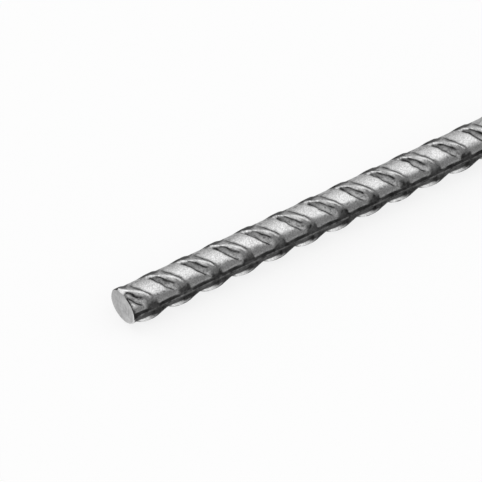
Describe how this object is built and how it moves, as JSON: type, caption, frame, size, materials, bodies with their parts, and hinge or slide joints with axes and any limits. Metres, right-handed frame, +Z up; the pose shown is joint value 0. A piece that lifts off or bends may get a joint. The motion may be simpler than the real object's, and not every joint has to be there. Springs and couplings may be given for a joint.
{
  "type": "ribbed steel reinforcing bar",
  "caption": "Straight cut length of hot-rolled ribbed steel reinforcing bar with square-cut ends, for casting into concrete or driving as a pin.",
  "frame": {"origin": "on the bar's axis, at the middle of its length", "axes": "+X along the bar, away from the end that is shown; +Y across the bar through its side ribs; +Z up"},
  "size_m": [0.6, 0.017, 0.0154],
  "materials": {
    "rolled_steel": "as-rolled grey steel, dark scale in the corners, worn bright on the ribs, plain grey cut ends"
  },
  "bodies": {
    "root": {"reinforcing_bar": "rolled_steel"}
  },
  "joints": []
}
